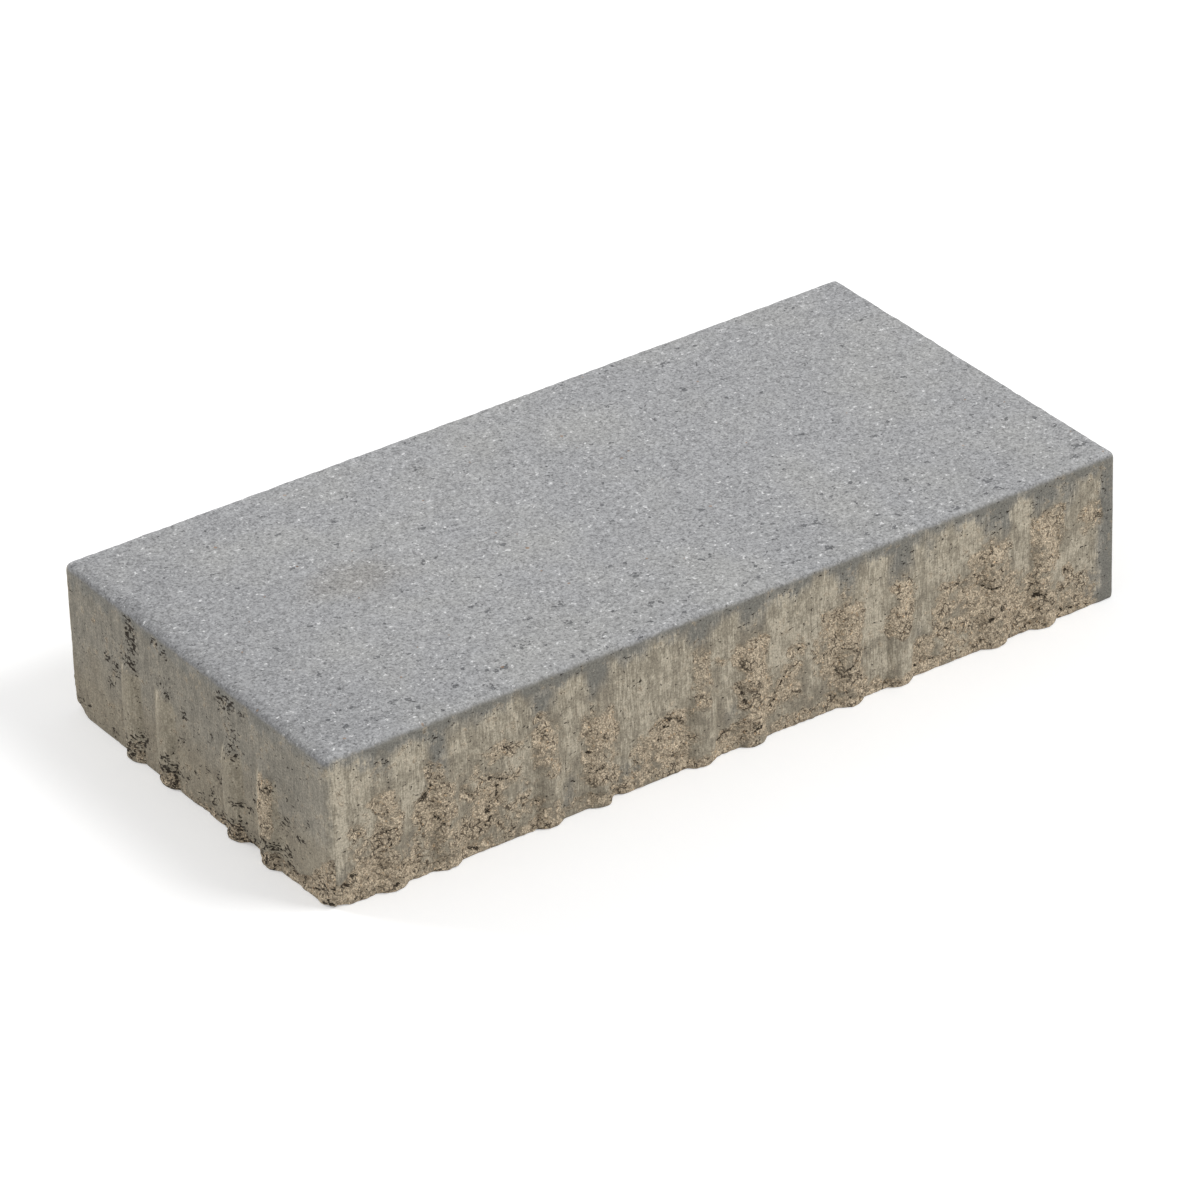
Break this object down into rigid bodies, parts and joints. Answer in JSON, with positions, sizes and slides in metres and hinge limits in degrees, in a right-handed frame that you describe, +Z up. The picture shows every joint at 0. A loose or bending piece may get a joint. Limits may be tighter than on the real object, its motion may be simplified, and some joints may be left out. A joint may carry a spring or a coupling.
{
  "type": "concrete paving stone",
  "caption": "Rectangular concrete paving stone with a rounded arris round its fine-grained wearing face and paired upright spacer ribs on its rough sides.",
  "frame": {"origin": "middle of the bedding face, the plain underside that the stone lies on", "axes": "+X along the length, +Y across the width, +Z up to the wearing face"},
  "size_m": [0.4, 0.2, 0.07],
  "materials": {
    "concrete": "fine open-grained grey concrete, rougher and browner on the sides"
  },
  "bodies": {
    "root": {"paving_stone": "concrete"}
  },
  "joints": []
}
